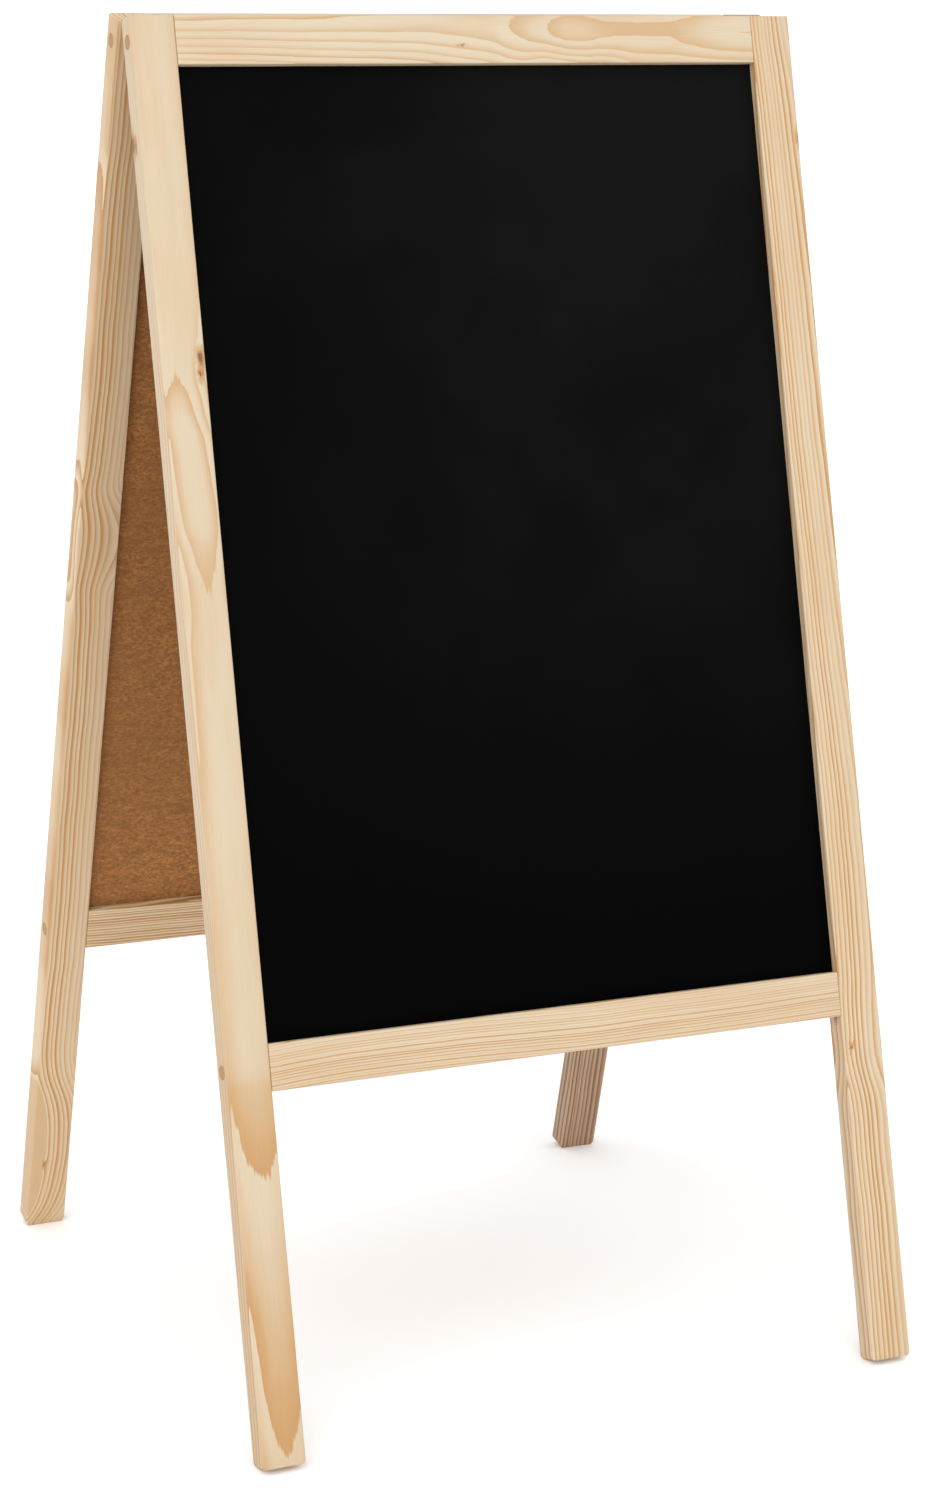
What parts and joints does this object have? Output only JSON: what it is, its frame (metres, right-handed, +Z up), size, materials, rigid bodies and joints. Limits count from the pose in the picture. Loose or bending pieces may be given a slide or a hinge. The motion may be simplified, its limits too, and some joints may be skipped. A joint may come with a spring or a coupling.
{
  "type": "sandwich board",
  "caption": "Wooden A-frame sandwich board: a framed chalkboard on each side, hinged together at the top so that it folds flat.",
  "frame": {"origin": "on the ground, midway between the four feet, with the board standing open", "axes": "+Z up, +X across the board from its left stile to its right one as seen from the front, +Y from the front frame to the rear frame"},
  "size_m": [0.61, 0.6358, 1.148],
  "materials": {
    "pine": "planed pale pine, clear satin lacquer, eased edges",
    "dowel_wood": "end grain of through dowels, sanded flush",
    "chalkboard": "hardboard, matt black chalk paint outside, bare brown inside",
    "hinge_steel": "zinc-plated sheet steel",
    "screw_steel": "zinc-plated steel screws"
  },
  "bodies": {
    "front_frame": {"front_left_stile": "pine", "front_right_stile": "pine", "front_top_rail": "pine", "front_bottom_rail": "pine", "front_chalkboard": "chalkboard", "front_top_dowels": "dowel_wood", "front_bottom_dowels": "dowel_wood", "left_hinge_front_leaf": "hinge_steel", "left_hinge_pin": "hinge_steel", "left_hinge_front_screws": "screw_steel", "right_hinge_front_leaf": "hinge_steel", "right_hinge_pin": "hinge_steel", "right_hinge_front_screws": "screw_steel"},
    "rear_frame": {"rear_left_stile": "pine", "rear_right_stile": "pine", "rear_top_rail": "pine", "rear_bottom_rail": "pine", "rear_chalkboard": "chalkboard", "rear_top_dowels": "dowel_wood", "rear_bottom_dowels": "dowel_wood", "left_hinge_rear_leaf": "hinge_steel", "left_hinge_rear_screws": "screw_steel", "right_hinge_rear_leaf": "hinge_steel", "right_hinge_rear_screws": "screw_steel"}
  },
  "joints": [
    {"name": "fold", "type": "hinge", "parent": "front_frame", "child": "rear_frame", "pos_m": [0, 0, 1.14172], "axis": [-1, 0, 0], "range_deg": [0, 28.7]}
  ]
}
